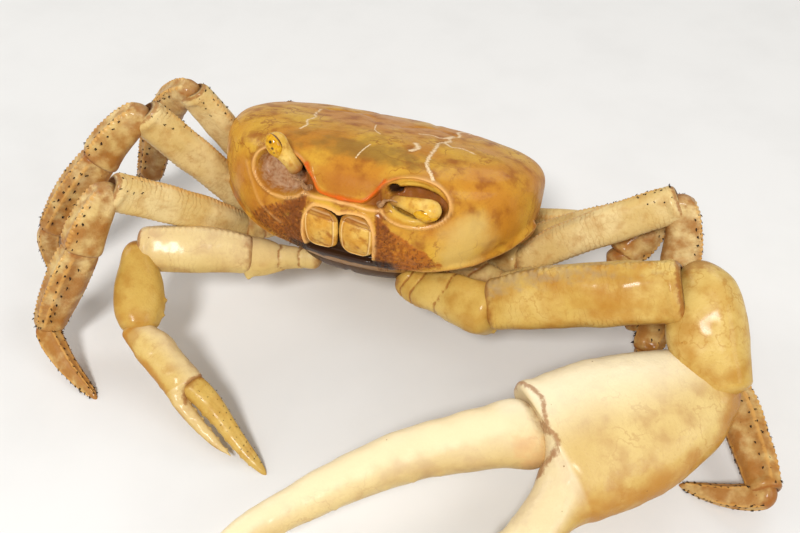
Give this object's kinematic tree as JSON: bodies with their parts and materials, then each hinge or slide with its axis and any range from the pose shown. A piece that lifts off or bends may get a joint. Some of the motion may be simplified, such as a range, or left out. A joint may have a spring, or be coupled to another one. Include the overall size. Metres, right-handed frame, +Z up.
{
  "type": "land crab model",
  "caption": "Still life-size model of a large male blue land crab, front raised, with one great claw reaching forwards along the ground.",
  "frame": {"origin": "on the floor, in the middle of the whole model's box", "axes": "+Z up, the crab's front faces -Y and its left side, with the great claw, is +X"},
  "size_m": [0.2564, 0.2538, 0.0812],
  "materials": {
    "carapace": "glossy tan and olive shell with orange-brown edges",
    "claw": "glossy cream to yellow shell with orange-brown edges",
    "leg": "satin cream-yellow shell with fine wrinkles and dark bristles",
    "underside": "satin pale brown shell",
    "stalk": "smooth cream-yellow",
    "eye": "wet amber"
  },
  "bodies": {
    "root": {"claw_left_base": "claw", "claw_left_merus": "claw", "claw_left_carpus": "claw", "claw_left_palm": "claw", "claw_left_finger": "claw", "leg2_left_base": "leg", "leg2_left_merus": "leg", "leg2_left_carpus": "leg", "leg2_left_propodus": "leg", "leg2_left_dactyl": "leg", "leg3_left_base": "leg", "leg3_left_merus": "leg", "leg3_left_carpus": "leg", "leg3_left_propodus": "leg", "leg3_left_dactyl": "leg", "leg4_left_base": "leg", "leg4_left_merus": "leg", "leg4_left_carpus": "leg", "leg4_left_propodus": "leg", "leg4_left_dactyl": "leg", "leg5_left_base": "leg", "leg5_left_merus": "leg", "leg5_left_carpus": "leg", "leg5_left_propodus": "leg", "leg5_left_dactyl": "leg", "claw_right_base": "claw", "claw_right_merus": "claw", "claw_right_carpus": "claw", "claw_right_palm": "claw", "claw_right_finger": "claw", "leg2_right_base": "leg", "leg2_right_merus": "leg", "leg2_right_carpus": "leg", "leg2_right_propodus": "leg", "leg2_right_dactyl": "leg", "leg3_right_base": "leg", "leg3_right_merus": "leg", "leg3_right_carpus": "leg", "leg3_right_propodus": "leg", "leg3_right_dactyl": "leg", "leg4_right_base": "leg", "leg4_right_merus": "leg", "leg4_right_carpus": "leg", "leg4_right_propodus": "leg", "leg4_right_dactyl": "leg", "leg5_right_base": "leg", "leg5_right_merus": "leg", "leg5_right_carpus": "leg", "leg5_right_propodus": "leg", "leg5_right_dactyl": "leg", "mouth_left": "underside", "eyestalk_left": "stalk", "eye_left": "eye", "mouth_right": "underside", "eyestalk_right": "stalk", "eye_right": "eye", "carapace": "carapace", "thorax": "underside", "abdomen": "underside"}
  },
  "joints": []
}
